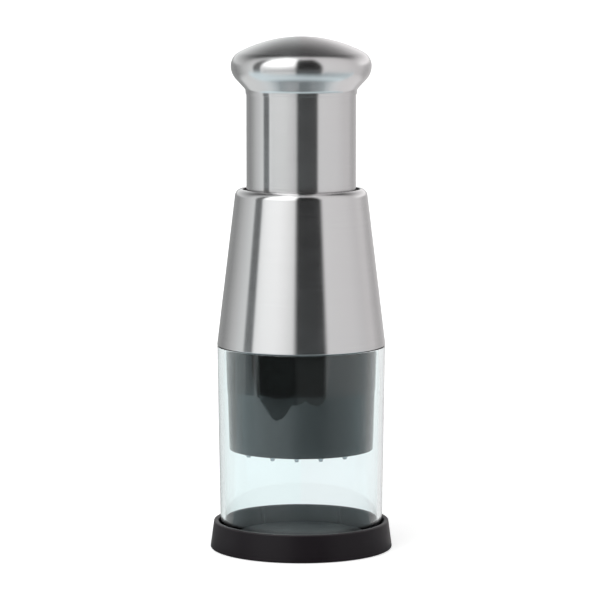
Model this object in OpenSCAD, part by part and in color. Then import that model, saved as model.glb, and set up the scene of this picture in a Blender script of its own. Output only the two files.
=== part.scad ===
// Hand-pressed vegetable dicer: a plunger chopper that stands on its round base.
// The handle pushes a zigzag blade through a slotted scraper into a clear cup.
// Each stroke turns the blade by one ratchet tooth, driven by a spiral cam.
// Millimetres, +Z up, origin at the centre of the base on the table.

/* [Stroke] */
// How far the handle travels when it is pressed
stroke = 40.5; // [30:0.5:40.5]
// How far the cam turns the driver in one stroke, in degrees
stroke_turn = 30; // [10:5:40]

/* [Base] */
// Radius of the base at its foot
base_r = 44.3; // [43.5:0.1:48]
// Outer radius of the base rim
base_rim_r = 42.5; // [42.1:0.1:43.2]
// Height of the base rim
base_h = 13.6; // [10:0.1:16]
// Radius of the chopping disc in the base
disc_r = 33.4; // [32:0.1:36]

/* [Cup] */
// Outer radius of the cup at its foot
cup_foot_r = 39.2; // [38.6:0.1:39.3]
// Outer radius of the cup under the housing
cup_top_r = 40.7; // [40.4:0.1:40.9]
// Thickness of the clear wall
cup_wall = 2.2; // [1.6:0.1:2.4]
// Height of the shoulder that the housing stands over
cup_shoulder_z = 99.4; // [98:0.05:99.45]

/* [Housing] */
// Outer radius of the steel housing at its lower edge
housing_r = 40.8; // [40.75:0.05:41.4]
// Height of the lower edge of the housing
housing_z = 99.75; // [99.6:0.05:100.2]
// Height of the top of the housing
housing_top = 175.5; // [175.3:0.1:176.5]
// How fast the housing narrows going up, in mm of radius per mm of height
housing_slope = 0.121; // [0.115:0.001:0.122]
// Thickness of the steel sheet of the housing, tube and cap
sheet = 0.8; // [0.6:0.1:0.9]

/* [Handle] */
// Outer radius of the handle tube
tube_r = 26.45; // [26:0.05:26.5]
// Height of the top of the cap
cap_top = 248.7; // [246:0.1:252]
// Radius of the cap at its widest
cap_r = 33.9; // [33:0.1:35]
// Radius of the domed top of the cap
cap_dome_r = 64; // [60:1:70]

/* [Blade] */
// Number of bends in the zigzag blade
blade_bends = 11; // [7:2:11]
// Distance across from one bend to the next
blade_pitch = 5.7; // [4.5:0.1:5.7]
// Radius of the circle that the bends lie in
blade_r = 30.7; // [30:0.1:30.8]
// Half the width of each bend, where the strip turns back
fold_half = 0.8; // [0.6:0.1:1]
// Thickness of the blade steel
blade_t = 0.6; // [0.4:0.1:0.7]
// Height of the cutting edge at rest
blade_edge_z = 46.9; // [46.7:0.1:48]

/* [Spring] */
// Radius of the spring wire
wire_r = 0.85; // [0.6:0.05:1]
// Radius of the middle of the spring coil
spring_r = 20; // [19.5:0.1:22]
// Number of turns, with one dead turn at each end
spring_turns = 11; // [8:1:13]

/* [Hidden] */

$fn = 96;
slack = 0.2;   // between pieces that move past each other
touch = 0.05;  // between pieces that sit in one another

// Base levels
base_under = 0.3;
floor_z = 3.4;
disc_z = 3.0;
disc_t = 3.1;
recess_r = base_rim_r - 2.2;

// Cup and gasket levels
neck_r = 38.8;
neck_wall = 1.4;
neck_top = 107;
gasket_z = neck_top + 0.1;

// Housing levels: the web is the floor that carries the cam, spring and sleeve
web_z = 108.5;
web_top = 111;
lean = atan(housing_slope);
shoulder_r = 3.6;
shoulder_z = housing_top - shoulder_r;
shoulder_at = housing_outer(shoulder_z + shoulder_r * sin(lean)) - shoulder_r * cos(lean);
barrel_r = 31;
barrel_bore = 29.2;
barrel_top = 170;
key_w = 5.2;
key_depth_r = 30.2;

// Stop ring on the foot of the handle tube
ring_z = web_top + stroke + 1.5;
ring_h = 9.5;
bushing_z = ring_z + ring_h + slack;

// Cam, driver and shaft
cam_r = 11.5;
cam_bore = 8.75;
cam_z = 105.5;
cam_top = 156;
peg_r = 2;
peg_z = 150;
turn_rate = stroke_turn / stroke;
stem_r = 8.5;
stem_top = 154;
shaft_r = 4;
shaft_collar_r = 6;
shaft_top = 240.5;
boss_z = cam_top + stroke + 0.5;
core_r = tube_r - sheet - touch;
seat_z = 190;
core_top = 231;
washer_t = 1.5;

// Blade hub and ratchet
hub_z = 92;
hub_top = 94.8;
hub_r = 31.4;
well_r = 8.9;
ledge_z = 98.2;
wheel_z = 98.4;
wheel_t = 3.4;
teeth = 12;
tooth_r = 10.2;
tooth_root = 8.8;
cover_z = 102.1;
cover_t = 1.4;
cover_screw_r = 15.3;
pawls = 3;
pawl_t = 0.8;
pawl_h = 2.8;
bevel_h = 2.4;
blade_top = 94.1;
bend_middle = -2.2;

// Sleeve and scraper
sleeve_z = 49.1;
sleeve_r = 34.95;
sleeve_neck_z = 96.5;
sleeve_neck_r = 36.35;
scraper_z = 49.4;
scraper_top = 51.2;
scraper_r = 33;
lip_z = 106;
retainer_r = 31.9;

// Points of an arc round (r, z), from one angle to another
function arc(r, z, size, from, to, steps = 8) = [
    for (i = [0:steps])
        let (a = from + (to - from) * i / steps)
        [r + size * cos(a), z + size * sin(a)]
];

// Outer and inner radius of the housing cone at height z
function housing_outer(z) = housing_r - housing_slope * (z - housing_z);
function housing_inner(z) = housing_outer(z) - sheet / cos(lean);

// Bends of the zigzag blade, back and front in turn: each is a short flat, and the strip ends in one
function bend_x(i) = bend_middle + blade_pitch * (i - (blade_bends - 1) / 2);
function is_end(i) = i % (blade_bends - 1) == 0;
function reach(i) = abs(bend_x(i)) + (is_end(i) ? -fold_half : fold_half);
function bend_y(i) = (i % 2 == 0 ? 1 : -1) * sqrt(pow(blade_r, 2) - pow(reach(i), 2));

// Middle line of the strip, with each end longer by extra
function blade_path(extra = 0) =
    let (
        corners = [
            for (i = [0:blade_bends - 1], side = [-1, 1])
                if (!is_end(i) || side == (i == 0 ? 1 : -1))
                    [bend_x(i) + side * fold_half, bend_y(i)]
        ],
        last = len(corners) - 1,
        head = corners[0] - corners[1],
        tail = corners[last] - corners[last - 1]
    )
    [
        for (i = [0:last])
            corners[i] + extra * (i == 0 ? head / norm(head) : i == last ? tail / norm(tail) : [0, 0])
    ];

// Mitre across the strip at point i of its path, for a strip of half width 1
function mitre(path, i) =
    let (
        to = path[max(i, 1)] - path[max(i, 1) - 1],
        from = path[min(i, len(path) - 2) + 1] - path[min(i, len(path) - 2)],
        a = [-to[1], to[0]] / norm(to),
        b = [-from[1], from[0]] / norm(from)
    )
    (a + b) / (1 + a * b);

// A ring turned from one rectangle
module ring(inner, outer, z, h) {
    rotate_extrude()
        translate([inner, z])
            square([outer - inner, h]);
}

// A pan-head screw, head up, with its seat at z = 0
module screw(head_r, head_h, shank_r, shank_l) {
    difference() {
        union() {
            cylinder(r = head_r, h = head_h);
            translate([0, 0, -shank_l])
                cylinder(r = shank_r, h = shank_l + head_h / 2);
        }
        for (a = [0, 90])
            rotate(a)
                translate([-head_r * 0.6, -0.25, head_h * 0.45])
                    cube([head_r * 1.2, 0.5, head_h]);
    }
}

module around(count, r, z = 0) {
    for (i = [0:count - 1])
        rotate(i * 360 / count)
            translate([r, 0, z])
                children();
}

// The zigzag as a bar of width w, with each end longer by extra
module blade_slot(w, extra, z, h) {
    path = blade_path(extra);
    last = len(path) - 1;
    translate([0, 0, z])
        linear_extrude(h)
            polygon(concat(
                [for (i = [0:last]) path[i] + w / 2 * mitre(path, i)],
                [for (i = [last:-1:0]) path[i] - w / 2 * mitre(path, i)]
            ));
}

// Black moulded base that closes the foot of the cup and takes the chopping disc
module base_cap() {
    foot_edge = 0.6;
    rim_edge = 0.6;
    panel_r = 33;
    panel_z = 1.4;
    grip_r = 39.5;
    color("#262224") {
        difference() {
            rotate_extrude()
                polygon(concat(
                    [[0, panel_z], [panel_r, panel_z], [panel_r, base_under]],
                    arc(base_r - foot_edge, base_under + foot_edge, foot_edge, -90, 0, 5),
                    arc(base_rim_r - rim_edge, base_h - rim_edge, rim_edge, 0, 90, 5),
                    arc(recess_r + rim_edge, base_h - rim_edge, rim_edge, 90, 180, 5),
                    [[recess_r - 0.3, floor_z + 0.5], [recess_r - 0.8, floor_z]],
                    [[disc_r + slack, floor_z], [disc_r + slack, disc_z], [0, disc_z]]
                ));
            ring(36.5, 40.5, 0, 2);
        }
        // Six ribs that grip the foot of the cup
        around(6, grip_r, floor_z - 0.1)
            translate([0, -1, 0])
                cube([recess_r - grip_r, 2, 7]);
    }
}

// Loose disc that the blade is stopped just above
module cutting_disc() {
    edge = 0.5;
    color("#3a4442")
        rotate_extrude()
            polygon(concat(
                [[0, disc_z], [disc_r, disc_z]],
                arc(disc_r - edge, disc_z + disc_t - edge, edge, 0, 90, 4),
                [[0, disc_z + disc_t]]
            ));
}

// Soft ring let into the underside of the base
module foot_ring() {
    color("#1a1a1a")
        ring(36.5, 40.5, 0, 2);
}

// Clear cup, open at both ends: its wall thickens to the neck that the housing pushes over
module cup() {
    shoulder = 0.4;
    thicken_z = cup_shoulder_z - 20;
    rise = (thicken_z - floor_z) / (cup_shoulder_z - floor_z);
    thicken_r = cup_foot_r + (cup_top_r - cup_foot_r) * rise - cup_wall;
    color("#dff0e6", 0.35)
        rotate_extrude()
            polygon(concat(
                [[cup_foot_r - cup_wall, floor_z], [cup_foot_r - 0.4, floor_z], [cup_foot_r, floor_z + 0.4]],
                arc(cup_top_r - shoulder, cup_shoulder_z - shoulder, shoulder, 0, 85, 7),
                [[neck_r, cup_shoulder_z], [neck_r, neck_top - 0.4], [neck_r - 0.4, neck_top]],
                [[neck_r - neck_wall, neck_top], [neck_r - neck_wall, cup_shoulder_z - 1]],
                [[thicken_r, thicken_z]]
            ));
}

// Spun steel housing: a cone with a round shoulder that turns in at the top
module housing_shell() {
    color("#c9c7c4")
        rotate_extrude()
            polygon(concat(
                [[housing_r - sheet / cos(lean), housing_z], [housing_r, housing_z]],
                arc(shoulder_at, shoulder_z, shoulder_r, lean, 90, 9),
                arc(shoulder_at, shoulder_z, shoulder_r - sheet, 90, lean, 9)
            ));
}

// Moulded liner: the web, the guide barrel for the handle, and ribs that back the shell
module housing_liner() {
    gap = 0.12;
    rim_h = 9;
    rim_t = 1.6;
    rib_t = 1.6;
    rib_top = 165;
    color("#2b2b2d")
        difference() {
            union() {
                rotate_extrude()
                    polygon([
                        [cam_r + 0.1, web_z],
                        [housing_inner(web_z) - gap, web_z],
                        [housing_inner(web_z + rim_h) - gap, web_z + rim_h],
                        [housing_inner(web_z + rim_h) - gap - rim_t, web_z + rim_h],
                        [housing_inner(web_top) - gap - rim_t, web_top],
                        [barrel_r, web_top],
                        [barrel_r, barrel_top],
                        [barrel_bore, barrel_top],
                        [barrel_bore, web_top],
                        [cam_r + 0.1, web_top]
                    ]);
                around(8, 0)
                    rotate([90, 0, 0])
                        linear_extrude(rib_t, center = true)
                            polygon([
                                [barrel_r - 0.5, web_top - 0.5],
                                [housing_inner(web_top) - 2 * gap, web_top - 0.5],
                                [housing_inner(rib_top) - 2 * gap, rib_top],
                                [barrel_r - 0.5, rib_top]
                            ]);
            }
            around(3, barrel_bore - 1.2, web_top)
                translate([0, -key_w / 2, 0])
                    cube([key_depth_r - barrel_bore + 1.2, key_w, barrel_top]);
            around(3, 14.5, web_z - 1)
                cylinder(r = 1.25, h = 5);
            around(3, 28, web_z - 1)
                cylinder(r = 1.25, h = 3.2);
        }
}

// Plain bearing for the handle tube, pushed into the top of the barrel
module guide_bushing() {
    bore = tube_r + 0.1;
    flange_r = barrel_r;
    collar_r = shoulder_at - 0.25;
    collar_top = housing_top - 1.2;
    color("#1c1c1e")
        rotate_extrude()
            polygon([
                [bore, bushing_z],
                [barrel_bore - touch, bushing_z],
                [barrel_bore - touch, barrel_top],
                [flange_r, barrel_top],
                [flange_r, barrel_top + 1.8],
                [collar_r, barrel_top + 1.8],
                [collar_r, collar_top],
                [bore + 0.4, collar_top],
                [bore, collar_top - 0.4]
            ]);
}

// Fixed tube with two spiral slots that turn the driver as it goes down
module cam_tube() {
    slot_w = 2 * peg_r + 0.6;
    slot_z = peg_z - stroke - peg_r - 0.3;
    slot_h = stroke + 2 * peg_r + 0.9;
    flange_r = 17.5;
    color("#e6e2d6")
        difference() {
            union() {
                difference() {
                    ring(cam_bore, cam_r, cam_z, cam_top - cam_z);
                    translate([0, 0, slot_z])
                        rotate(turn_rate * (peg_z - slot_z))
                            linear_extrude(slot_h, twist = turn_rate * slot_h, slices = 30)
                                square([2 * cam_r + 2, slot_w], center = true);
                }
                ring(cam_r - 0.1, flange_r, web_top, 2);
            }
            around(3, 14.5, web_top - 1)
                cylinder(r = 1.35, h = 4);
        }
}

module cam_screws() {
    color("#b8b8b4")
        around(3, 14.5, web_top + 2)
            screw(2.2, 1.8, 1.25, 4);
}

// Soft ring that stops the handle at the end of its stroke
module bumper_ring() {
    color("#202020")
        ring(25.5, barrel_bore - 0.3, web_top, 1.3);
}

// Flat seal between the neck of the cup and the web
module cup_gasket() {
    color("#4a4a4a")
        ring(neck_r - neck_wall - 0.2, neck_r, gasket_z, web_z - gasket_z);
}

// Hooked ring under the web that carries the sleeve and lets it turn
module sleeve_retainer() {
    color("#2b2b2d")
        difference() {
            rotate_extrude()
                polygon([
                    [26, web_z - 1.5],
                    [26, web_z],
                    [retainer_r, web_z],
                    [retainer_r, lip_z - 0.3],
                    [retainer_r + 1.5, lip_z - 0.3],
                    [retainer_r + 1.5, lip_z - 2.5],
                    [retainer_r - 1.7, lip_z - 2.5],
                    [retainer_r - 1.7, web_z - 1.5]
                ]);
            around(3, 28, web_z - 3)
                cylinder(r = 1.35, h = 4);
        }
}

module retainer_screws() {
    color("#b8b8b4")
        around(3, 28, web_z - 1.5)
            mirror([0, 0, 1])
                screw(1.9, 1.5, 1.25, 3.4);
}

// Compression spring with a dead turn at each end
module return_spring() {
    steps = 24;
    sides = 8;
    low = web_top + wire_r + touch;
    high = seat_z - wire_r - touch;
    dead = 2 * wire_r + 0.1;
    live = (high - low - 2 * dead) / (spring_turns - 2);
    function climb(t) =
        t < 1 ? dead * t
        : t < spring_turns - 1 ? dead + live * (t - 1)
        : high - low - dead * (spring_turns - t);
    rings = spring_turns * steps;
    points = [
        for (i = [0:rings], j = [0:sides - 1])
            let (
                a = 360 * i / steps,
                b = 360 * j / sides,
                r = spring_r + wire_r * cos(b)
            )
            [r * cos(a), r * sin(a), low + climb(i / steps) + wire_r * sin(b)]
    ];
    skin = [
        for (i = [0:rings - 1], j = [0:sides - 1])
            let (k = (j + 1) % sides)
            [i * sides + j, i * sides + k, (i + 1) * sides + k, (i + 1) * sides + j]
    ];
    first = [[for (j = [0:sides - 1]) sides - 1 - j]];
    last = [[for (j = [0:sides - 1]) rings * sides + j]];
    color("#d0d0cc")
        polyhedron(points, concat(skin, first, last), convexity = 10);
}

// Domed steel cap: its skirt is pressed over the top of the handle tube
module handle_cap() {
    t = 1;
    rim = 7.5;
    under = 9.5;
    flank = 47.3;
    fillet = 2.5;
    skirt_r = tube_r + 0.4;
    skirt_z = 221.2;
    dome_z = cap_top - cap_dome_r;
    rim_at = cap_r - rim;
    rim_z = dome_z + sqrt(pow(cap_dome_r - rim, 2) - pow(rim_at, 2));
    meet = acos(rim_at / (cap_dome_r - rim));
    under_at = cap_r - under;
    side = [sin(flank), -cos(flank)];
    edge = [under_at, rim_z] + under * side;
    fillet_at = skirt_r + fillet;
    fillet_z = edge[1] - (fillet - side[0] * (fillet_at - edge[0])) / cos(flank);
    bore = tube_r + 0.02;
    inner_z = edge[1] + t * cos(flank) - (edge[0] - t * side[0] - bore) * tan(flank);
    color("#c9c7c4")
        rotate_extrude()
            polygon(concat(
                [[bore, skirt_z], [skirt_r - 0.1, skirt_z]],
                arc(fillet_at, fillet_z, fillet, 180, 90 + flank, 5),
                arc(under_at, rim_z, under, flank - 90, 0, 7),
                arc(rim_at, rim_z, rim, 0, meet, 8),
                arc(0, dome_z, cap_dome_r, meet, 90, 12),
                arc(0, dome_z, cap_dome_r - t, 90, meet, 12),
                arc(rim_at, rim_z, rim - t, meet, 0, 8),
                arc(under_at, rim_z, under - t, 0, flank - 90, 7),
                [[bore, inner_z]]
            ));
}

module handle_tube() {
    color("#c9c7c4")
        ring(tube_r - sheet, tube_r, ring_z + 2, 226 - ring_z - 2);
}

// Moulded core that fills the top of the tube: it holds the shaft and seats the spring
module handle_core() {
    wall = 2;
    seat_r = 18;
    boss_r = 8;
    plate_z = core_top - 3.5;
    color("#2b2b2d") {
        rotate_extrude()
            polygon([
                [seat_r, seat_z],
                [core_r, seat_z],
                [core_r, core_top],
                [shaft_r + touch, core_top],
                [shaft_r + touch, boss_z],
                [boss_r, boss_z],
                [boss_r, plate_z],
                [core_r - wall, plate_z],
                [core_r - wall, seat_z + 2.5],
                [seat_r, seat_z + 2.5]
            ]);
        around(6, boss_r - 0.5, boss_z + 3)
            translate([0, -1, 0])
                cube([core_r - wall - boss_r + 1, 2, plate_z - boss_z - 2]);
    }
}

// Steel shaft: the collar drives the stem down, the thread at the top takes the nut
module plunger_shaft() {
    shaft_z = 95.3;
    groove_z = 95.8;
    color("#bdbdb8")
        rotate_extrude()
            polygon([
                [0, shaft_z], [shaft_r, shaft_z],
                [shaft_r, groove_z], [shaft_r - 0.6, groove_z],
                [shaft_r - 0.6, groove_z + 0.8], [shaft_r, groove_z + 0.8],
                [shaft_r, stem_top + slack], [shaft_collar_r, stem_top + slack],
                [shaft_collar_r, boss_z], [shaft_r, boss_z],
                [shaft_r, shaft_top - 0.6], [shaft_r - 0.6, shaft_top],
                [0, shaft_top]
            ]);
}

module shaft_washer() {
    color("#b8b8b4")
        ring(shaft_r + touch, 9, core_top, washer_t);
}

module shaft_nut() {
    across_flats = 13;
    color("#b8b8b4")
        difference() {
            translate([0, 0, core_top + washer_t])
                cylinder(r = across_flats / 2 / cos(30), h = 6.5, $fn = 6);
            cylinder(r = shaft_r, h = shaft_top + 1);
        }
}

// Collar on the foot of the tube: it stops the handle under the bushing, and its keys stop it turning
module stop_ring() {
    outer = barrel_bore - 0.25;
    color("#2b2b2d") {
        rotate_extrude()
            polygon([
                [24.2, ring_z], [outer, ring_z],
                [outer, ring_z + ring_h], [tube_r + 0.02, ring_z + ring_h],
                [tube_r + 0.02, ring_z + 2], [24.2, ring_z + 2]
            ]);
        around(3, outer - 1, ring_z)
            translate([0, -key_w / 2 + slack, 0])
                cube([key_depth_r - 0.25 - outer + 1, key_w - 2 * slack, ring_h]);
    }
}

module shaft_circlip() {
    color("#8c8c8a")
        difference() {
            ring(shaft_r - 0.6, 6.2, 95.8, 0.8);
            translate([0, -1.5, 95])
                cube([8, 3, 3]);
        }
}

module thrust_washer() {
    color("#e6e2d6")
        ring(shaft_r + 0.1, 8.4, 96.7, 1.6);
}

// Sleeve on the shaft with the ratchet wheel at its foot: steep tooth faces drive the pawls
module driver_stem() {
    step = 360 / teeth;
    color("#e6e2d6")
        difference() {
            union() {
                translate([0, 0, wheel_z + wheel_t - 0.1])
                    cylinder(r = stem_r, h = stem_top - wheel_z - wheel_t + 0.1);
                translate([0, 0, wheel_z])
                    linear_extrude(wheel_t)
                        polygon([
                            for (i = [0:teeth - 1], r = [tooth_root, tooth_r])
                                [r * cos(i * step), r * sin(i * step)]
                        ]);
            }
            translate([0, 0, wheel_z - 1])
                cylinder(r = shaft_r + 0.08, h = stem_top);
            translate([0, 0, peg_z])
                rotate([0, 90, 0])
                    cylinder(r = peg_r, h = 3 * stem_r, center = true);
        }
}

// Two steel pegs that run in the spiral slots
module driver_pegs() {
    inner = 5;
    color("#bdbdb8")
        for (a = [0, 180])
            rotate(a)
                translate([inner, 0, peg_z])
                    rotate([0, 90, 0])
                        cylinder(r = peg_r, h = cam_r - 0.2 - inner);
}

// Moulded hub: it grips the top of the blade and houses the ratchet
module blade_hub() {
    wall_r = 13;
    box_r = 17.5;
    color("#2b2b2d")
        difference() {
            union() {
                rotate_extrude()
                    polygon([
                        [0, hub_z], [hub_r, hub_z], [hub_r, hub_top],
                        [box_r, hub_top], [box_r, cover_z], [wall_r, cover_z],
                        [wall_r, ledge_z], [well_r, ledge_z], [well_r, hub_top], [0, hub_top]
                    ]);
                around(6, box_r - 0.5, hub_top - 0.5)
                    translate([0, -0.8, 0])
                        cube([11, 1.6, 3.7]);
            }
            blade_slot(blade_t, 0, hub_z - 1, blade_top - hub_z + 1);
            around(pawls, 0)
                pawl();
            rotate(60)
                around(3, cover_screw_r, ledge_z - 1)
                    cylinder(r = 1.1, h = 8);
        }
}

// One strip of stainless steel, folded to a zigzag and ground to an edge along its foot
module blade_strip() {
    half = blade_t / 2;
    path = blade_path();
    rings = len(path);
    // Each ring is [side of the middle line, height]: the edge, then up one face and down the other
    profile = [
        [0, blade_edge_z],
        [half, blade_edge_z + bevel_h],
        [half, blade_top],
        [-half, blade_top],
        [-half, blade_edge_z + bevel_h]
    ];
    sides = len(profile);
    points = [
        for (i = [0:rings - 1], p = profile)
            let (at = path[i] + p[0] * mitre(path, i))
            [at[0], at[1], p[1]]
    ];
    skin = [
        for (i = [0:rings - 2], j = [0:sides - 1])
            let (k = (j + 1) % sides)
            [i * sides + j, (i + 1) * sides + j, (i + 1) * sides + k, i * sides + k]
    ];
    first = [[for (j = [0:sides - 1]) j]];
    last = [[for (j = [0:sides - 1]) rings * sides - 1 - j]];
    color("#d8d8d6")
        polyhedron(points, concat(skin, first, last), convexity = 10);
}

// One leaf pawl: its free end rests against the steep face of a tooth
module pawl() {
    translate([tooth_root + 0.15, -10.4, ledge_z + 0.5])
        cube([pawl_t, 10.4 - 0.15, pawl_h]);
}

module pawl_springs() {
    color("#c8c8c0")
        around(pawls, 0)
            pawl();
}

module ratchet_cover() {
    color("#3a3a3c")
        difference() {
            ring(stem_r + 0.5, 17.5, cover_z, cover_t);
            rotate(60)
                around(3, cover_screw_r, cover_z - 1)
                    cylinder(r = 1.2, h = 4);
        }
}

module cover_screws() {
    color("#b8b8b4")
        rotate(60)
            around(3, cover_screw_r, cover_z + cover_t)
                screw(2, 1.5, 1.1, 6);
}

// Black sleeve that hides the blade: it turns with the blade and stays with the housing
module sleeve() {
    rebate_r = scraper_r + touch;
    color("#151817")
        rotate_extrude()
            polygon([
                [rebate_r, sleeve_z], [sleeve_r - 0.3, sleeve_z],
                [sleeve_r, sleeve_z + 0.3], [sleeve_neck_r, sleeve_neck_z],
                [sleeve_neck_r, web_z - 0.3], [retainer_r + 0.3, web_z - 0.3],
                [retainer_r + 0.3, lip_z], [sleeve_neck_r - 2, lip_z],
                [sleeve_neck_r - 2, sleeve_neck_z], [hub_r + 0.5, scraper_top],
                [rebate_r, scraper_top]
            ]);
}

// Slotted plate in the foot of the sleeve that wipes the blade clean
module scraper_plate() {
    color("#1d2120")
        difference() {
            translate([0, 0, scraper_z])
                cylinder(r = scraper_r, h = scraper_top - scraper_z);
            blade_slot(blade_t + 0.55, 0.4, scraper_z - 1, scraper_top - scraper_z + 2);
        }
}

base_cap();
cutting_disc();
foot_ring();
cup();
housing_shell();
housing_liner();
guide_bushing();
cam_tube();
cam_screws();
bumper_ring();
cup_gasket();
sleeve_retainer();
retainer_screws();
return_spring();
handle_cap();
handle_tube();
handle_core();
plunger_shaft();
shaft_washer();
shaft_nut();
stop_ring();
shaft_circlip();
thrust_washer();
driver_stem();
driver_pegs();
blade_hub();
blade_strip();
pawl_springs();
ratchet_cover();
cover_screws();
sleeve();
scraper_plate();
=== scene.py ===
import math

import bpy
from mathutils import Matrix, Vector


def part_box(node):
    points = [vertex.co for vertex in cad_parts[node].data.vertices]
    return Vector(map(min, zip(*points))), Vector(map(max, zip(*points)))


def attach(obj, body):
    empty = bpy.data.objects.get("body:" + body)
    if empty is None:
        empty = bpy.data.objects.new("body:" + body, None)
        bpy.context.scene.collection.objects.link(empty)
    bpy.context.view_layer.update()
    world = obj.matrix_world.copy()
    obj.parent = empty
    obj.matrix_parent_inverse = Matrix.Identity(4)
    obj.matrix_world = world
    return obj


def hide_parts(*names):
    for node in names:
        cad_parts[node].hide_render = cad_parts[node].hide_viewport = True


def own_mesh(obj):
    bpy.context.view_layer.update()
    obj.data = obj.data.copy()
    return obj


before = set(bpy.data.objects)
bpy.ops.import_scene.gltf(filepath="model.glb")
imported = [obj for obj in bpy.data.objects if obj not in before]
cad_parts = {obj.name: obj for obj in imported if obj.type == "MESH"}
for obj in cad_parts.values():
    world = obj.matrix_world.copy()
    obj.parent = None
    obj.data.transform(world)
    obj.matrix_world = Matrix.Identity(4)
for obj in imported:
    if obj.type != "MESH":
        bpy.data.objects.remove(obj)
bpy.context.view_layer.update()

# ---- Camera ---------------------------------------------------------------------------------
# A long lens, well back from the counter and a little above the dicer, so that its sides stand
# nearly parallel and the rim of the base shows as a narrow ellipse.
mm = 0.001
camera_aside = -0.6 * mm
camera_back = 1635 * mm
camera_height = 320 * mm
camera_tilt = math.radians(6.93)

lens = bpy.data.cameras.new("camera")
lens.lens = 204
lens.sensor_width = 36
camera = bpy.data.objects.new("camera", lens)
camera.location = (camera_aside, -camera_back, camera_height)
camera.rotation_euler = (math.pi / 2 - camera_tilt, 0, 0)
bpy.context.scene.collection.objects.link(camera)
bpy.context.scene.camera = camera
bpy.context.scene.view_settings.view_transform = "Standard"

# ---- Studio light ---------------------------------------------------------------------------
# The room round the dicer, as its steel and plastic mirror it: pale walls, a large soft box in
# front on the left with a narrow dark gap beside it, and a black flag in front on the right.
# Directions are degrees to the right of straight in front, and degrees above level.


def node(tree, kind, inputs=None, **settings):
    """Adds a shader node: inputs are values or other nodes' outputs."""
    made = tree.nodes.new("ShaderNode" + kind)
    for name, value in settings.items():
        setattr(made, name, value)
    for socket, value in (inputs or {}).items():
        if isinstance(value, bpy.types.NodeSocket):
            tree.links.new(value, made.inputs[socket])
        else:
            made.inputs[socket].default_value = value
    return made


def maths(tree, operation, *values):
    return node(tree, "Math", dict(enumerate(values)), operation=operation).outputs[0]


def step_up(tree, value, at, soft):
    """0 below at, 1 above it, over a soft edge."""
    edge = {"Value": value, "From Min": at - soft, "From Max": at + soft}
    return node(tree, "MapRange", edge, interpolation_type="SMOOTHSTEP").outputs[0]


def window(tree, value, low, high, soft):
    inside = step_up(tree, value, low, soft)
    past = step_up(tree, value, high, soft)
    return maths(tree, "SUBTRACT", inside, past)


def ramp(tree, value, stops):
    """A curve through (place, level) stops."""
    first, last = stops[0][0], stops[-1][0]
    at = node(tree, "MapRange", {"Value": value, "From Min": first, "From Max": last}).outputs[0]
    levels = node(tree, "ValToRGB", {"Fac": at})
    band = levels.color_ramp.elements
    while len(band) < len(stops):
        band.new(0.5)
    for element, (place, level) in zip(band, stops):
        element.position = (place - first) / (last - first)
        element.color = (level, level, level, 1)
    return levels.outputs["Color"]


def mixed(tree, share, a, b):
    return node(tree, "Mix", {0: share, 2: a, 3: b}, data_type="FLOAT").outputs[0]


studio = bpy.data.worlds.new("studio")
studio.use_nodes = True
bpy.context.scene.world = studio
room = studio.node_tree
room.nodes.clear()
direction = node(room, "SeparateXYZ", {0: node(room, "TexCoord").outputs["Generated"]}).outputs
toward = maths(room, "MULTIPLY", direction["Y"], -1.0)
across = maths(room, "DEGREES", maths(room, "ARCTAN2", direction["X"], toward))
up = maths(room, "DEGREES", maths(room, "ARCSINE", direction["Z"]))

wall_levels = [
    (-180, 0.42), (-155, 0.35), (-136, 0.31), (-124, 0.42), (-108, 0.66), (-88, 0.85), (34, 0.86),
    (80, 0.8), (100, 0.72), (117, 0.66), (128, 0.55), (140, 0.5), (152, 0.56), (165, 0.62),
    (174, 0.6), (180, 0.42),
]
light = ramp(room, across, wall_levels)
# Behind the dicer the walls fall off to a dark ceiling, and are a little paler on the right
back_levels = [
    (-30, 0.6), (0, 1.0), (10, 1.0), (20, 0.8), (29, 0.58), (39, 0.28), (48, 0.1), (62, 0.0),
    (80, 0.0), (87, 0.4), (90, 0.9),
]
behind = step_up(room, maths(room, "ABSOLUTE", across), 112, 14)
above = step_up(room, up, 6, 3)
paler = maths(room, "MULTIPLY_ADD", maths(room, "SINE", maths(room, "RADIANS", across)), 0.3, 1.0)
back = maths(room, "MULTIPLY", ramp(room, up, back_levels), paler)
light = mixed(room, maths(room, "MULTIPLY", behind, above), light, back)
# The counter, seen from above under the cap
counter_level = 0.86
light = mixed(room, step_up(room, up, -25, 5), counter_level, light)
# The soft box is brightest at its top and its outer edge, and dims towards the flag
box_strength = 2.3
shade_level = 0.06
sideways = ramp(room, across, [(-80, 0.93), (-55, 1.0), (-38, 0.98), (-25, 0.87), (-8, 0.66)])
upwards = ramp(room, up, [(-8, 0.5), (0, 0.46), (7, 0.47), (12, 0.6), (24, 1.0)])
box_levels = maths(room, "MULTIPLY", maths(room, "MULTIPLY", sideways, upwards), box_strength)
# Each panel is left, right, bottom, top in degrees, then its soft side edges and its brightness
panels = [
    ("soft box", -70, -8, -7, 100, 2.2, box_levels),
    ("shade under the soft box", -66, -6, -13.2, -7, 2.2, shade_level),
    ("dark gap", -86, -71, -17, 53, 2.2, 0.14),
    ("black flag", -9, 35, -31, 68, 4, 0.012),
    ("foot of the flag", -6, 33, -13.2, -7, 2.2, 0.2),
]
level_soft = 1.6
for name, left, right, bottom, top, soft, level in panels:
    wide = window(room, across, left, right, soft)
    high = window(room, up, bottom, top, level_soft)
    light = mixed(room, maths(room, "MULTIPLY", wide, high), light, level)
# A white reflector hangs over the front half
overhead_level = 1.0
in_front = step_up(room, toward, 0, 0.04)
overhead = maths(room, "MULTIPLY", step_up(room, up, 76, 5), in_front)
light = mixed(room, overhead, light, overhead_level)
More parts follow.
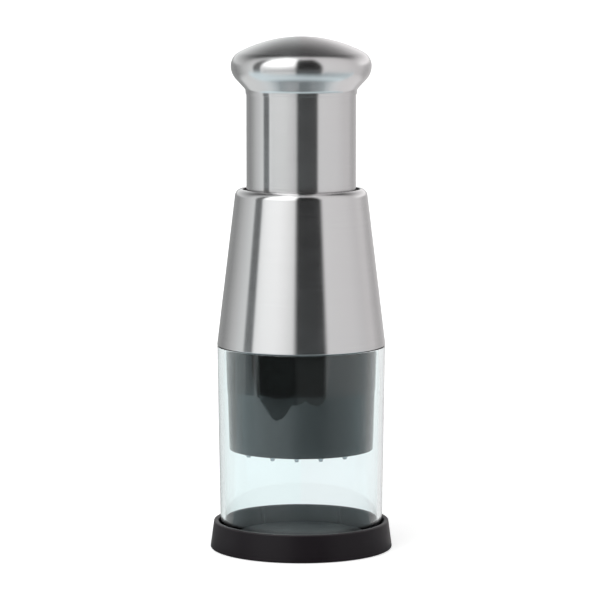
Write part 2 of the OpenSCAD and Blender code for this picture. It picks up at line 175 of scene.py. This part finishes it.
# What the sleeve mirrors is seen through the clear cup. The cup's thick shoulder mirrors what
# stands higher up, so the shade reaches higher there, and its sides gather the white ground.
side_level = 1.0
path = node(room, "LightPath").outputs
through = step_up(room, path["Transmission Depth"], 0.5, 0.1)
shade_wide = window(room, across, -66, -8, 2.2)
shade_high = window(room, up, -13.2, 14, level_soft)
lifted = maths(room, "MULTIPLY", shade_wide, shade_high)
light = mixed(room, maths(room, "MULTIPLY", through, lifted), light, shade_level)
beside = step_up(room, maths(room, "ABSOLUTE", across), 108, 16)
light = mixed(room, maths(room, "MULTIPLY", through, beside), light, side_level)
# White where nothing has reflected it, so that the dicer stands on a white ground
ground_white = 1.02
bounced = maths(room, "ADD", path["Glossy Depth"], path["Diffuse Depth"])
light = mixed(room, step_up(room, bounced, 0.5, 0.1), ground_white, light)
warm = step_up(room, across, 10, 90)
cool_white, warm_white = (0.975, 1.0, 0.995, 1), (1.0, 0.985, 0.985, 1)
tint = node(room, "Mix", {0: warm, 6: cool_white, 7: warm_white}, data_type="RGBA")
lit = node(room, "Background", {"Color": tint.outputs[2], "Strength": light})
node(room, "OutputWorld", {"Surface": lit.outputs[0]})

# ---- Floor ----------------------------------------------------------------------------------
# A wide white sweep that the dicer stands on. It glows a little by itself, as a lit sweep does,
# so that only the faintest shadow is left under the base.
floor_half = 20
floor_mesh = bpy.data.meshes.new("floor")
corners = [(x * floor_half, y * floor_half, 0) for x, y in ((-1, -1), (1, -1), (1, 1), (-1, 1))]
floor_mesh.from_pydata(corners, [], [(0, 1, 2, 3)])
floor = bpy.data.objects.new("floor", floor_mesh)
floor.visible_glossy = False
floor.visible_transmission = False
bpy.context.scene.collection.objects.link(floor)
sweep = bpy.data.materials.new("white_sweep")
sweep.use_nodes = True
paper = sweep.node_tree.nodes["Principled BSDF"].inputs
paper["Base Color"].default_value = (0.86, 0.86, 0.86, 1)
paper["Roughness"].default_value = 0.9
paper["Specular IOR Level"].default_value = 0
paper["Emission Color"].default_value = (1, 1, 1, 1)
paper["Emission Strength"].default_value = 0.62
floor_mesh.materials.append(sweep)
# What the cup and sleeve mirror of the sweep: it ends a forearm's length in front of them. Its
# edge is degrees to the right of straight in front, then mm from the dicer.
front_edge = [
    (-100, 720), (-70, 720), (-69, 570), (-64, 505), (-50, 440), (-35, 398), (-22, 412),
    (-13, 448), (6, 462), (24, 446), (32, 462), (35, 510), (39, 560), (40, 720), (100, 720),
]
card_z = 0.2 * mm
near_mesh = bpy.data.meshes.new("front_of_the_sweep")
card_points = [(0, 0, card_z)]
for across_at, reach in front_edge:
    turn = math.radians(across_at)
    card_points.append((reach * mm * math.sin(turn), -reach * mm * math.cos(turn), card_z))
near_mesh.from_pydata(card_points, [], [tuple(range(len(card_points)))])
near = bpy.data.objects.new("front_of_the_sweep", near_mesh)
for seen_by in ("camera", "diffuse", "shadow", "volume_scatter"):
    setattr(near, "visible_" + seen_by, False)
bpy.context.scene.collection.objects.link(near)
glow = bpy.data.materials.new("glowing_paper")
glow.use_nodes = True
shader = glow.node_tree.nodes["Principled BSDF"]
shader.inputs["Base Color"].default_value = (0, 0, 0, 1)
# The dicer shades the paper close by, and beyond that the black flag shades it in front
tree = glow.node_tree
place = node(tree, "TexCoord").outputs["Object"]
x, y = node(tree, "SeparateXYZ", {0: place}).outputs[:2]
away = node(tree, "VectorMath", {0: place}, operation="LENGTH").outputs["Value"]
near_by = node(tree, "MapRange", {"Value": away, "From Min": 55 * mm, "From Max": 190 * mm,
                                  "To Min": 0.12})
round_front = maths(tree, "DEGREES", maths(tree, "ARCTAN2", x, maths(tree, "MULTIPLY", y, -1.0)))
paper_levels = [
    (-100, 1.0), (-68, 0.95), (-50, 0.8), (-20, 0.7), (-8, 0.57), (10, 0.46), (34, 0.43),
    (50, 0.51), (70, 0.6), (100, 0.75),
]
flagged = step_up(tree, away, 250 * mm, 40 * mm)
paper_light = mixed(tree, flagged, 1.0, ramp(tree, round_front, paper_levels))
bright = maths(tree, "MULTIPLY", near_by.outputs[0], paper_light)
# Seen straight through the cup, and not mirrored, it is as white as the ground around it
mirrored = step_up(tree, node(tree, "LightPath").outputs["Glossy Depth"], 0.5, 0.1)
white, cool_paper = (1, 1, 1, 1), (0.82, 0.96, 1, 1)
tint = node(tree, "Mix", {0: mirrored, 6: white, 7: cool_paper}, data_type="RGBA").outputs[2]
tree.links.new(tint, shader.inputs["Emission Color"])
tree.links.new(mixed(tree, mirrored, ground_white, bright), shader.inputs["Emission Strength"])
near_mesh.materials.append(glow)

# ---- Foot ring ------------------------------------------------------------------------------
# A soft rubber ring pressed into a groove under the base, so that the dicer doesn't slide when
# it is struck. It is moulded, matt, and stands 0.3 mm proud of the base.


def arc(r, z, size, start, end, steps=8):
    """Points of an arc round (r, z), from one angle to another in degrees."""
    angles = [math.radians(start + (end - start) * i / steps) for i in range(steps + 1)]
    return [(r + size * math.cos(a), z + size * math.sin(a)) for a in angles]


def rounded(corners, steps=5):
    """An outline in mm from (r, z, rounding) corners: each rounded corner becomes a small arc."""
    points = []
    for i, (r, z, size) in enumerate(corners):
        if not size:
            points.append((r * mm, z * mm))
            continue
        before, after = corners[i - 1], corners[(i + 1) % len(corners)]
        a = math.atan2(before[1] - z, before[0] - r)
        b = math.atan2(after[1] - z, after[0] - r)
        turn = (b - a + math.pi) % (2 * math.pi) - math.pi
        half = abs(turn) / 2
        middle = a + turn / 2
        centre_r = r + size / math.sin(half) * math.cos(middle)
        centre_z = z + size / math.sin(half) * math.sin(middle)
        spread = (math.pi / 2 - half) * (1 if turn > 0 else -1)
        for j in range(steps + 1):
            angle = middle + math.pi - spread * (2 * j / steps - 1)
            at_r = centre_r + size * math.cos(angle)
            at_z = centre_z + size * math.sin(angle)
            points.append((at_r * mm, at_z * mm))
    return points


def finished_mesh(name, points, faces, sharp=35):
    """A smooth mesh object with crisp edges where faces meet at more than sharp degrees."""
    mesh = bpy.data.meshes.new(name)
    mesh.from_pydata(points, [], faces)
    mesh.update()
    mesh.polygons.foreach_set("use_smooth", [True] * len(mesh.polygons))
    mesh.set_sharp_from_angle(angle=math.radians(sharp))
    piece = bpy.data.objects.new(name, mesh)
    bpy.context.scene.collection.objects.link(piece)
    return piece


def held_flat(outline, long_run=3 * mm, margin=0.25 * mm):
    """Adds a point near each end of every long straight run, so that the shading of the small
    arcs beside it doesn't spread over it."""
    points = []
    for (r, z), (r2, z2) in zip(outline, outline[1:] + outline[:1]):
        points.append((r, z))
        run = math.hypot(r2 - r, z2 - z)
        if run > long_run:
            for share in (margin / run, 1 - margin / run):
                points.append((r + (r2 - r) * share, z + (z2 - z) * share))
    return points


def turned(name, outline, segments=240, inset=None):
    """A solid turned about the upright axis from a closed outline of (r, z), in metres.
    inset(r, z, angle) may give a point another radius, for ribs and flutes."""
    points, faces, rings = [], [], []
    for r, z in held_flat(outline):
        if r < 1e-7:
            rings.append([len(points)])
            points.append((0, 0, z))
            continue
        rings.append(list(range(len(points), len(points) + segments)))
        for s in range(segments):
            angle = 2 * math.pi * s / segments
            at = inset(r, z, angle) if inset else r
            points.append((at * math.cos(angle), at * math.sin(angle), z))
    for i, ring in enumerate(rings):
        upper = rings[(i + 1) % len(rings)]
        if len(ring) == 1 and len(upper) == 1:
            continue
        for s in range(segments):
            n = (s + 1) % segments
            if len(ring) == 1:
                faces.append((ring[0], upper[n], upper[s]))
            elif len(upper) == 1:
                faces.append((ring[s], ring[n], upper[0]))
            else:
                faces.append((ring[s], ring[n], upper[n], upper[s]))
    return finished_mesh(name, points, faces)


def finish(name, **sockets):
    """A material and its node tree, with its fixed values set on the shader."""
    material = bpy.data.materials.new(name)
    material.use_nodes = True
    shader = material.node_tree.nodes["Principled BSDF"]
    for socket, value in sockets.items():
        shader.inputs[socket.replace("_", " ")].default_value = value
    return material, material.node_tree, shader


def moulded(name, colour, gloss, grain, depth, patch=0.15, **sockets):
    """Moulded plastic or rubber: a fine grain from the tool, cloudy gloss and slight colour shift."""
    material, tree, shader = finish(name, **sockets)
    place = node(tree, "TexCoord").outputs["Object"]
    cloud = node(tree, "TexNoise", {"Vector": place, "Scale": 45.0, "Detail": 4.0}).outputs["Fac"]
    fine = node(tree, "TexNoise", {"Vector": place, "Scale": 1 / grain, "Detail": 2.0}).outputs["Fac"]
    dark = tuple(c * (1 - patch) for c in colour) + (1,)
    pale = tuple(c * (1 + patch) for c in colour) + (1,)
    shade = node(tree, "Mix", {0: cloud, 6: dark, 7: pale}, data_type="RGBA").outputs[2]
    tree.links.new(shade, shader.inputs["Base Color"])
    rough = node(tree, "MapRange", {"Value": cloud, "From Min": 0.3, "From Max": 0.7,
                                    "To Min": gloss * 0.8, "To Max": gloss * 1.2}).outputs[0]
    tree.links.new(rough, shader.inputs["Roughness"])
    bump = node(tree, "Bump", {"Height": fine, "Strength": 1.0, "Distance": depth})
    tree.links.new(bump.outputs[0], shader.inputs["Normal"])
    return material


def dress(piece, material, body=None, slot=None, *replaced):
    """Gives a piece its material and body, and hides the plain solids that it stands for. The slot is
    not used.
    """
    piece.data.materials.clear()
    piece.data.materials.append(material)
    if body:
        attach(piece, body)
        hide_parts(*replaced)
    return piece


rubber = moulded("soft_rubber", (0.012, 0.012, 0.012), 0.62, 0.4 * mm, 0.03 * mm)
groove_in = 36.5
groove_out = 40.5
groove_top = 2.0
foot_outline = rounded([
    (groove_in, 0, 0.35), (groove_out, 0, 0.35), (groove_out, groove_top, 0.1),
    (groove_in, groove_top, 0.1),
])
foot_ring = turned("foot_ring_soft", foot_outline)
dress(foot_ring, rubber, "base", "soft_rubber", "foot_ring")

# ---- Base -----------------------------------------------------------------------------------
# A shallow dish moulded in satin black plastic, with a hollow for the chopping disc and six low
# ribs that grip the foot of the cup. Its edges are rounded so that it wipes clean.
base_low, base_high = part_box("base_cap")
base_r = base_high.x / mm
base_h = base_high.z / mm
rim_r = 42.5
lip_width = 2.2
recess_r = rim_r - lip_width
floor_z = 3.4
hollow_r = 33
hollow_z = 1.4
rim_round = 0.6
disc_gap = 0.2
disc_low, disc_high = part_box("cutting_disc")
disc_r = disc_high.x / mm
disc_z = disc_low.z / mm
base_under = base_low.z / mm
base_outline = rounded([
    (0, hollow_z, 0), (hollow_r, hollow_z, 0.4), (hollow_r, base_under, 0.2),
    (groove_in, base_under, 0.15), (groove_in, groove_top, 0.15), (groove_out, groove_top, 0.15),
    (groove_out, base_under, 0.15), (base_r, base_under, rim_round), (rim_r + 0.02, base_h, rim_round),
    (recess_r, base_h, rim_round), (recess_r - 0.35, floor_z + 1.2, 0), (recess_r - 0.8, floor_z, 0.4),
    (disc_r + disc_gap, floor_z, 0.15), (disc_r + disc_gap, disc_z, 0.1), (0, disc_z, 0),
], steps=6)
rib_step = math.radians(60)
rib_half = math.radians(1.4)
rib_r = 39.5 * mm
rib_top = 10.4 * mm


def grip_ribs(r, z, angle):
    """Six low ribs on the wall of the recess, between the floor and the rounded lip."""
    off = abs((angle + rib_step / 2) % rib_step - rib_step / 2)
    wall = rib_r < r < (recess_r + 0.1) * mm and floor_z * mm < z < rib_top
    return rib_r if wall and off < rib_half else r


# Two rows of points just below the lip, where the ribs begin
under_lip = [(recess_r * mm, 10.3 * mm), ((recess_r - 0.02) * mm, 10.0 * mm)]
on_lip = [i for i, (r, z) in enumerate(base_outline) if z > 12 * mm and r < (recess_r + 0.3) * mm]
base_outline[on_lip[-1] + 1:on_lip[-1] + 1] = under_lip
base_piece = turned("base_dish", base_outline, 480, grip_ribs)
black = moulded("satin_black", (0.0085, 0.0058, 0.008), 0.38, 0.55 * mm, 0.006 * mm,
                Specular_IOR_Level=0.18)
# Painted highlight: the top of the lip is painted paler, in place of the light that its rounded edge
# catches from above
tree = black.node_tree
height = node(tree, "SeparateXYZ", {0: node(tree, "TexCoord").outputs["Object"]}).outputs[2]
lip_highlight_mask = step_up(tree, height, (base_h - 0.55) * mm, 0.2 * mm)
shader = tree.nodes["Principled BSDF"]
plain = shader.inputs["Base Color"].links[0].from_socket
# The paler black of the painted highlight on the lip
lip_highlight_colour = (0.034, 0.029, 0.032, 1)
lip = node(tree, "Mix", {0: lip_highlight_mask, 6: plain, 7: lip_highlight_colour}, data_type="RGBA").outputs[2]
tree.links.new(lip, shader.inputs["Base Color"])
dress(base_piece, black, "base", "black_plastic", "base_cap")

# ---- Chopping disc --------------------------------------------------------------------------
# A loose dark grey disc of tougher plastic that lies in the base and takes the edge of the blade.
# It is moulded with rounded edges and a matt, lightly grained face, and lifts out to be washed.
disc_top = disc_high.z / mm
disc_outline = rounded([
    (0, disc_z, 0), (disc_r, disc_z, 0.2), (disc_r, disc_top, 0.5), (0, disc_top, 0),
])
disc = turned("chopping_disc", disc_outline)
disc_finish = moulded("disc_plastic", (0.013, 0.018, 0.02), 0.5, 0.5 * mm, 0.01 * mm,
                      Specular_IOR_Level=0.25)
dress(disc, disc_finish, "base", "disc_plastic", "cutting_disc")

# ---- Cup ------------------------------------------------------------------------------------
# A clear cup with a faint blue-green cast, moulded in one piece and open at both ends. It widens a
# little going up, then steps in to the neck that the housing pushes onto. Use has left it with a
# faint ripple, hairline scratches and a cloudiness that only shows where it catches the light.
cup_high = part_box("cup")[1]
cup_r = cup_high.x / mm
cup_foot_r = 39.2
cup_wall = 2.2
shoulder_z = 99.4
shoulder = 0.4
neck_r = 38.8
neck_wall = 1.4
neck_top = cup_high.z / mm
# The wall thickens over its last 20 mm to carry the neck
thicken_z = shoulder_z - 20
draft = (cup_r - cup_foot_r) / (shoulder_z - floor_z)
thicken_r = cup_foot_r + draft * (thicken_z - floor_z) - cup_wall
cup_outline = rounded([
    (cup_foot_r - cup_wall, floor_z, 0.5), (cup_foot_r, floor_z, 0.5), (cup_r, shoulder_z, shoulder),
    (neck_r, shoulder_z, 0.3), (neck_r, neck_top, 0.4), (neck_r - neck_wall, neck_top, 0.4),
    (neck_r - neck_wall, shoulder_z - 1, 0.8), (thicken_r, thicken_z, 40),
], steps=8)
cup = turned("clear_cup", cup_outline)
clear, tree, shader = finish("clear_cup_plastic", Transmission_Weight=1.0, IOR=1.49)
place = node(tree, "TexCoord").outputs["Object"]
flow = node(tree, "TexNoise", {"Vector": place, "Scale": 14.0, "Detail": 1.0}).outputs["Fac"]
deep_cast, pale_cast = (0.908, 0.96, 0.966, 1), (0.922, 0.968, 0.973, 1)
cast = node(tree, "Mix", {0: flow, 6: deep_cast, 7: pale_cast}, data_type="RGBA")
tree.links.new(cast.outputs[2], shader.inputs["Base Color"])
# Hairlines run round the cup, from being wiped and turned in the hand
upright = node(tree, "Mapping", {"Vector": place, "Scale": (1, 1, 14)}).outputs[0]
hairs = node(tree, "TexNoise", {"Vector": upright, "Scale": 260.0, "Detail": 2.0}).outputs["Fac"]
haze = node(tree, "MapRange", {"Value": hairs, "From Min": 0.62, "From Max": 0.75,
                               "To Min": 0.012, "To Max": 0.05}).outputs[0]
tree.links.new(haze, shader.inputs["Roughness"])
ripple = node(tree, "Bump", {"Height": flow, "Strength": 0.5, "Distance": 0.02 * mm})
tree.links.new(ripple.outputs[0], shader.inputs["Normal"])
dress(cup, clear, "cup", "clear_plastic", "cup")

# ---- Sleeve ---------------------------------------------------------------------------------
# A glossy black sleeve that hangs inside the cup and hides the blade. It is moulded, tapers
# down to its foot, and its neck has a lip inside that hooks over the retainer.
sleeve_low, sleeve_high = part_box("sleeve")
sleeve_z = sleeve_low.z / mm
sleeve_r = 34.95
sleeve_neck_r = sleeve_high.x / mm
neck_z = 96.5
lip_top = sleeve_high.z / mm
lip_z = 106
lip_r = 32.2
neck_in = sleeve_neck_r - 2
bore_r = 31.9
rebate_r = 33.05
scraper_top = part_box("scraper_plate")[1].z / mm
sleeve_outline = rounded([
    (rebate_r, sleeve_z, 0.15), (sleeve_r, sleeve_z, 0.4), (sleeve_neck_r, neck_z, 0),
    (sleeve_neck_r, lip_top, 0.5), (lip_r, lip_top, 0.2), (lip_r, lip_z, 0.2),
    (neck_in, lip_z, 0), (neck_in, neck_z, 0), (bore_r, scraper_top, 0),
    (rebate_r, scraper_top, 0),
])
sleeve = turned("black_sleeve", sleeve_outline)
gloss_black = moulded("gloss_black", (0.010, 0.0125, 0.0125), 0.07, 0.9 * mm, 0.001 * mm)
dress(sleeve, gloss_black, "sleeve", "black_sleeve", "sleeve")
dress(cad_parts["scraper_plate"], gloss_black)

# ---- Housing shell --------------------------------------------------------------------------
# A cone spun from stainless steel sheet and brushed round its axis on a lathe. Its top is turned
# in over a round shoulder and its lower edge is trimmed square and broken smooth.
shell_low, shell_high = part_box("housing_shell")
shell_r = shell_high.x / mm
shell_z = shell_low.z / mm
shell_top = shell_high.z / mm
shell_slope = 0.121
sheet = 0.8
lean = math.atan(shell_slope)
turn_r = 3.6
turn_z = shell_top - turn_r
turn_from = shell_r - shell_slope * (turn_z + turn_r * math.sin(lean) - shell_z)
turn_at = turn_from - turn_r * math.cos(lean)
slant = math.degrees(lean)
edge = 0.25
inner_r = shell_r - sheet / math.cos(lean)
shell_outline = rounded([
    (inner_r, shell_z, edge), (shell_r, shell_z, edge), (shell_r - shell_slope * 5, shell_z + 5, 0),
])
fold_end = 84
fold = arc(turn_at, turn_z, turn_r, slant, fold_end, 24)
fold += arc(turn_at + 0.3, shell_top - sheet / 2, sheet / 2, 90, 270, 8)
fold += arc(turn_at, turn_z, turn_r - sheet, fold_end, slant, 16)
shell_outline += [(r * mm, z * mm) for r, z in fold]
shell = turned("housing_cone", shell_outline, 320)


def brushed_steel(name, colour, gloss, streak):
    """Stainless steel brushed round the upright axis: fine rings of scratches in the gloss and in
    the surface, a few longer marks from handling, and a highlight drawn out across the grain."""
    material, tree, shader = finish(name, Metallic=1.0, Anisotropic=0.95, Anisotropic_Rotation=0.25)
    grain_of = node(tree, "Tangent", direction_type="RADIAL", axis="Z").outputs[0]
    tree.links.new(grain_of, shader.inputs["Tangent"])
    place = node(tree, "TexCoord").outputs["Object"]
    x, y, z = node(tree, "SeparateXYZ", {0: place}).outputs
    squares = maths(tree, "ADD", maths(tree, "MULTIPLY", x, x), maths(tree, "MULTIPLY", y, y))
    out = maths(tree, "SQRT", squares)
    turn = maths(tree, "ARCTAN2", y, x)
    # Rings: quick along the outline, slow round the axis
    wrap = node(tree, "CombineXYZ", {0: maths(tree, "COSINE", turn), 1: maths(tree, "SINE", turn),
                                     2: maths(tree, "MULTIPLY", z, 1 / streak)}).outputs[0]
    fine_rings = {"Vector": wrap, "W": maths(tree, "MULTIPLY", out, 1 / streak), "Scale": 1.0,
                  "Detail": 3.0, "Roughness": 0.7}
    rings = node(tree, "TexNoise", fine_rings, noise_dimensions="4D").outputs["Fac"]
    cloud = node(tree, "TexNoise", {"Vector": place, "Scale": 60.0, "Detail": 3.0}).outputs["Fac"]
    dark = tuple(c * 0.93 for c in colour) + (1,)
    pale = tuple(min(1, c * 1.05) for c in colour) + (1,)
    shade = node(tree, "Mix", {0: rings, 6: dark, 7: pale}, data_type="RGBA").outputs[2]
    tree.links.new(shade, shader.inputs["Base Color"])
    worn = node(tree, "MapRange", {"Value": cloud, "To Min": -0.03, "To Max": 0.03}).outputs[0]
    rough = node(tree, "MapRange", {"Value": rings, "From Min": 0.3, "From Max": 0.7,
                                    "To Min": gloss - 0.03, "To Max": gloss + 0.03}).outputs[0]
    tree.links.new(maths(tree, "ADD", rough, worn), shader.inputs["Roughness"])
    coarse = node(tree, "VectorMath", {0: wrap, "Scale": 0.3}, operation="SCALE").outputs[0]
    waves = node(tree, "TexNoise", {"Vector": coarse, "Scale": 1.0, "Detail": 1.0}).outputs["Fac"]
    bump = node(tree, "Bump", {"Height": waves, "Strength": 0.12, "Distance": 0.002 * mm})
    tree.links.new(bump.outputs[0], shader.inputs["Normal"])
    return material


steel = brushed_steel("brushed_stainless", (0.69, 0.68, 0.685), 0.2, 0.2 * mm)
dress(shell, steel, "housing", "brushed_stainless", "housing_shell")

# ---- Moulded parts inside the housing -------------------------------------------------------
# The liner, retainer, core, stop ring and blade hub are moulded in black nylon and are hidden
# once the dicer is together. The cam, stem and thrust washer are white acetal, which slides dry.
nylon = moulded("black_nylon", (0.014, 0.014, 0.015), 0.45, 0.3 * mm, 0.012 * mm)
for name in ("housing_liner", "sleeve_retainer", "handle_core", "stop_ring"):
    dress(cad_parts[name], nylon)
for name in ("blade_hub", "ratchet_cover"):
    dress(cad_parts[name], nylon)

acetal = moulded("white_acetal", (0.74, 0.71, 0.63), 0.38, 0.4 * mm, 0.008 * mm, 0.05)
for name in ("cam_tube", "driver_stem", "thrust_washer"):
    dress(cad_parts[name], acetal)
for name in ("bumper_ring", "cup_gasket"):
    dress(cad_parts[name], rubber)


def plain_metal(name, colour, gloss):
    """Bare or plated metal with a cloudy gloss and fine random scratches."""
    material, tree, shader = finish(name, Metallic=1.0)
    place = node(tree, "TexCoord").outputs["Object"]
    cloud = node(tree, "TexNoise", {"Vector": place, "Scale": 400.0, "Detail": 5.0}).outputs["Fac"]
    dark = tuple(c * 0.85 for c in colour) + (1,)
    pale = tuple(min(1, c * 1.08) for c in colour) + (1,)
    shade = node(tree, "Mix", {0: cloud, 6: dark, 7: pale}, data_type="RGBA").outputs[2]
    tree.links.new(shade, shader.inputs["Base Color"])
    rough = node(tree, "MapRange", {"Value": cloud, "From Min": 0.3, "From Max": 0.7,
                                    "To Min": gloss * 0.7, "To Max": gloss * 1.3}).outputs[0]
    tree.links.new(rough, shader.inputs["Roughness"])
    bump = node(tree, "Bump", {"Height": cloud, "Strength": 0.3, "Distance": 0.01 * mm})
    tree.links.new(bump.outputs[0], shader.inputs["Normal"])
    return material


plated = plain_metal("zinc_plated_steel", (0.66, 0.66, 0.63), 0.3)
for name in ("cam_screws", "retainer_screws", "cover_screws", "driver_pegs"):
    dress(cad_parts[name], plated)
for name in ("plunger_shaft", "shaft_washer", "shaft_nut"):
    dress(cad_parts[name], plated)
spring_steel = plain_metal("spring_steel", (0.52, 0.52, 0.53), 0.25)
for name in ("shaft_circlip", "pawl_springs"):
    dress(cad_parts[name], spring_steel)

# ---- Guide bushing --------------------------------------------------------------------------
# A plain bearing of black nylon, pushed into the top of the liner. The handle tube slides in it,
# and its collar closes the gap inside the rolled edge of the housing. A groove holds grease.
bush_low, bush_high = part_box("guide_bushing")
bush_bore = 26.55
bush_r = 29.15
flange_r = bush_high.x / mm
flange_z = 170
flange_top = flange_z + 1.8
collar_r = turn_at - 0.25
bush_foot = bush_low.z / mm
bush_top = bush_high.z / mm
grease_r = bush_bore + 0.5
bushing = turned("bushing_ring", rounded([
    (bush_bore, bush_foot, 0.3), (bush_r, bush_foot, 0.4), (bush_r, flange_z, 0.1),
    (flange_r, flange_z, 0.2), (flange_r, flange_top, 0.3), (collar_r, flange_top, 0.2),
    (collar_r, bush_top, 0.4), (bush_bore, bush_top, 0.6), (bush_bore, flange_z - 1.5, 0),
    (grease_r, flange_z - 2.2, 0.2), (grease_r, flange_z - 3.4, 0.2), (bush_bore, flange_z - 4.1, 0),
]))
dress(bushing, nylon, "housing", "inner_plastic", "guide_bushing")

# ---- Return spring --------------------------------------------------------------------------
# A compression spring of drawn wire that lifts the handle. Its last turn lies closed at each end
# and is ground flat, so that it stands square on the liner and under the core.
spring_low, spring_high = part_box("return_spring")
wire = 0.85 * mm
coil_r = spring_high.x - wire
turns = 11
turn_steps = 40
wire_sides = 12
ground_off = 0.2 * mm
coil_foot = spring_low.z + ground_off
coil_head = spring_high.z - ground_off
closed = 2 * wire + 0.1 * mm
open_pitch = (coil_head - coil_foot - 2 * closed) / (turns - 2)
spring_points = []
for i in range(turns * turn_steps + 1):
    t = i / turn_steps
    end_turns = min(t, 1) + max(t - turns + 1, 0)
    climb = closed * end_turns + open_pitch * min(max(t - 1, 0), turns - 2)
    for j in range(wire_sides):
        around = 2 * math.pi * j / wire_sides
        r = coil_r + wire * math.cos(around)
        z = coil_foot + climb + wire * math.sin(around)
        z = min(max(z, spring_low.z), spring_high.z)
        spring_points.append((r * math.cos(2 * math.pi * t), r * math.sin(2 * math.pi * t), z))
spring_faces = []
for i in range(turns * turn_steps):
    for j in range(wire_sides):
        a, b = i * wire_sides + j, i * wire_sides + (j + 1) % wire_sides
        spring_faces.append((a, a + wire_sides, b + wire_sides, b))
spring_faces.append(tuple(range(wire_sides)))
spring_faces.append(tuple(len(spring_points) - 1 - j for j in range(wire_sides)))
spring = finished_mesh("lift_spring", spring_points, spring_faces)
dress(spring, spring_steel, "housing", "spring_steel", "return_spring")
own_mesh(spring)

# ---- Blade ----------------------------------------------------------------------------------
# One strip of stainless steel folded back and forth to a zigzag, with small round folds, hardened
# and ground from both sides to an edge along its foot. The hub is moulded round its top.
blade_low, blade_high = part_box("blade_strip")
blade_bends = 11
blade_pitch = 5.7
blade_middle = -2.2
blade_r = 30.7
fold_half = 0.8
fold_round = 0.75
blade_t = 0.6 * mm
bevel = 2.4 * mm
fold_corners = []
for i in range(blade_bends):
    x = blade_middle + blade_pitch * (i - (blade_bends - 1) / 2)
    is_end = i % (blade_bends - 1) == 0
    outer_x = abs(x) + (-fold_half if is_end else fold_half)
    y = (1 if i % 2 == 0 else -1) * math.sqrt(blade_r ** 2 - outer_x ** 2)
    for side in (-1, 1):
        if not is_end:
            fold_corners.append((x + side * fold_half, y, fold_round))
        elif side == (1 if i == 0 else -1):
            fold_corners.append((x + side * fold_half, y, 0))
line = rounded(fold_corners, steps=6)
# Its section, as shares of the thickness beside the folded line, and heights
section = [
    (0, blade_low.z), (0.5, blade_low.z + bevel), (0.5, blade_high.z), (-0.5, blade_high.z),
    (-0.5, blade_low.z + bevel),
]
blade_points = []
for i, (x, y) in enumerate(line):
    before, after = line[max(i, 1) - 1], line[min(i, len(line) - 2) + 1]
    here, there = line[max(i, 1)], line[min(i, len(line) - 2)]
    a = (here[0] - before[0], here[1] - before[1])
    b = (after[0] - there[0], after[1] - there[1])
    na = (-a[1] / math.hypot(*a), a[0] / math.hypot(*a))
    nb = (-b[1] / math.hypot(*b), b[0] / math.hypot(*b))
    spread = 1 + na[0] * nb[0] + na[1] * nb[1]
    out = ((na[0] + nb[0]) / spread, (na[1] + nb[1]) / spread)
    for off, z in section:
        blade_points.append((x + off * blade_t * out[0], y + off * blade_t * out[1], z))
sides = len(section)
blade_faces = [tuple(range(sides - 1, -1, -1))]
blade_faces.append(tuple(range(len(blade_points) - sides, len(blade_points))))
for i in range(len(line) - 1):
    here, there = i * sides, (i + 1) * sides
    for j in range(sides):
        k = (j + 1) % sides
        blade_faces.append((here + j, here + k, there + k, there + j))
blade = finished_mesh("folded_blade", blade_points, blade_faces, sharp=25)
blade_steel = plain_metal("blade_steel", (0.55, 0.55, 0.56), 0.2)
dress(blade, blade_steel, "blades", "blade_steel", "blade_strip")

# ---- Handle ---------------------------------------------------------------------------------
# A straight steel tube, drawn and brushed like the housing. Its foot is keyed to the stop ring
# inside, and the cap is pressed over its top.
tube_low, tube_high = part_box("handle_tube")
tube_r = tube_high.x / mm
tube_outline = rounded([
    (tube_r - sheet, tube_low.z / mm, 0.15), (tube_r, tube_low.z / mm, 0.15),
    (tube_r, tube_high.z / mm, 0.15), (tube_r - sheet, tube_high.z / mm, 0.15),
])
tube = turned("steel_tube", tube_outline, 320)
dress(tube, steel, "handle", "brushed_stainless", "handle_tube")

# ---- Cap ------------------------------------------------------------------------------------
# A domed cap pressed from steel sheet: a shallow crown, a full round rim that fits the palm, and
# a flank that turns down into a short skirt on the tube.
cap_low, cap_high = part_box("handle_cap")
cap_r = cap_high.x / mm
cap_top = cap_high.z / mm
cap_sheet = 1
crown_r = 64
rim_size = 7.5
under_size = 9.5
flank = 47.3
fillet = 2.5
skirt_r = tube_r + 0.4
skirt_z = cap_low.z / mm
skirt_edge = 0.1
crown_z = cap_top - crown_r
rim_at = cap_r - rim_size
rim_z = crown_z + math.sqrt((crown_r - rim_size) ** 2 - rim_at ** 2)
meet = math.degrees(math.acos(rim_at / (crown_r - rim_size)))
under_at = cap_r - under_size
side = (math.sin(math.radians(flank)), -math.cos(math.radians(flank)))
edge_at = (under_at + under_size * side[0], rim_z + under_size * side[1])
fillet_at = skirt_r + fillet
fillet_z = edge_at[1] - (fillet - side[0] * (fillet_at - edge_at[0])) / math.cos(math.radians(flank))
bore = tube_r + 0.02
inner_z = edge_at[1] + cap_sheet * math.cos(math.radians(flank)) \
    - (edge_at[0] - cap_sheet * side[0] - bore) * math.tan(math.radians(flank))
cap_outline = [(r * mm, z * mm) for r, z in (
    [(bore, skirt_z + skirt_edge), (bore + skirt_edge, skirt_z)]
    + [(skirt_r - skirt_edge, skirt_z), (skirt_r, skirt_z + skirt_edge)]
    + arc(fillet_at, fillet_z, fillet, 180, 90 + flank, 10)
    + arc(under_at, rim_z, under_size, flank - 90, 0, 20)
    + arc(rim_at, rim_z, rim_size, 0, meet, 24)[1:]
    + arc(0, crown_z, crown_r, meet, 90, 40)[1:]
    + arc(0, crown_z, crown_r - cap_sheet, 90, meet, 24)
    + arc(rim_at, rim_z, rim_size - cap_sheet, meet, 0, 12)[1:]
    + arc(under_at, rim_z, under_size - cap_sheet, 0, flank - 90, 12)[1:]
    + [(bore, inner_z)]
)]
cap_outline = [(0 if abs(r) < 1e-7 else r, z) for r, z in cap_outline]
cap = turned("domed_cap", cap_outline, 320)
dress(cap, steel, "handle", "brushed_stainless", "handle_cap")
